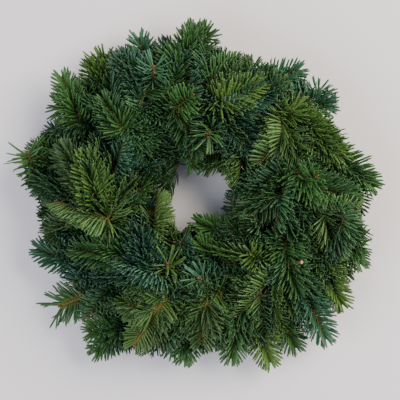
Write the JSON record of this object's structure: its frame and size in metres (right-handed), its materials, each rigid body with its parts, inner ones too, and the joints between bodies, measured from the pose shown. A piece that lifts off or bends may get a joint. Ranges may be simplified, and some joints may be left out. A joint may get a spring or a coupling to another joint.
{
  "type": "fresh evergreen wreath",
  "caption": "Round wreath of noble fir sprays, laid clockwise over one another and held by a wire clamp ring, lying on its back.",
  "frame": {"origin": "middle of the wreath's box, on the surface it lies on: x and y are the box's middle, z = 0 is the underside of the ring's rails", "axes": "+Z out of the front of the wreath, towards the viewer; +Y is the top of the picture and +X its right"},
  "size_m": [0.4688, 0.4546, 0.1064],
  "materials": {
    "ring_enamel": "satin",
    "foliage_deep": "waxy satin",
    "foliage_blue": "waxy satin with a pale bloom",
    "foliage_light": "waxy satin"
  },
  "bodies": {
    "root": {"clamp_ring": "ring_enamel", "spray_00_low_outer": "foliage_blue", "spray_00_low_inner": "foliage_deep", "spray_00_high_outer": "foliage_deep", "spray_00_high_middle": "foliage_light", "spray_00_high_inner": "foliage_blue", "spray_01_low_outer": "foliage_blue", "spray_01_low_middle": "foliage_light", "spray_01_low_inner": "foliage_light", "spray_01_high_outer": "foliage_light", "spray_01_high_middle": "foliage_light", "spray_02_low_outer": "foliage_deep", "spray_02_low_middle": "foliage_light", "spray_02_low_inner": "foliage_deep", "spray_02_high_middle": "foliage_deep", "spray_02_high_inner": "foliage_deep", "spray_03_low_outer": "foliage_deep", "spray_03_low_middle": "foliage_light", "spray_03_low_inner": "foliage_deep", "spray_03_high_outer": "foliage_deep", "spray_03_high_middle": "foliage_deep", "spray_03_high_inner": "foliage_light", "spray_04_low_outer": "foliage_blue", "spray_04_low_middle": "foliage_deep", "spray_04_low_inner": "foliage_deep", "spray_04_high_outer": "foliage_deep", "spray_04_high_middle": "foliage_light", "spray_05_low_outer": "foliage_light", "spray_05_low_middle": "foliage_deep", "spray_05_low_inner": "foliage_deep", "spray_05_high_outer": "foliage_light", "spray_05_high_middle": "foliage_deep", "spray_05_high_inner": "foliage_blue", "spray_06_low_outer": "foliage_deep", "spray_06_low_inner": "foliage_light", "spray_06_high_outer": "foliage_light", "spray_06_high_inner": "foliage_blue", "spray_07_low_outer": "foliage_deep", "spray_07_low_middle": "foliage_blue", "spray_07_low_inner": "foliage_light", "spray_07_high_inner": "foliage_deep", "spray_08_low_outer": "foliage_deep", "spray_08_low_middle": "foliage_deep", "spray_08_low_inner": "foliage_blue", "spray_08_high_outer": "foliage_deep", "spray_08_high_middle": "foliage_light", "spray_08_high_inner": "foliage_light", "spray_09_low_outer": "foliage_light", "spray_09_low_inner": "foliage_deep", "spray_09_high_inner": "foliage_blue", "spray_10_low_outer": "foliage_deep", "spray_10_low_middle": "foliage_light", "spray_10_high_outer": "foliage_deep", "spray_10_high_middle": "foliage_deep", "spray_10_high_inner": "foliage_deep", "spray_11_low_outer": "foliage_blue", "spray_11_low_inner": "foliage_deep", "spray_11_high_outer": "foliage_blue", "spray_11_high_middle": "foliage_deep", "spray_11_high_inner": "foliage_deep"}
  },
  "joints": []
}
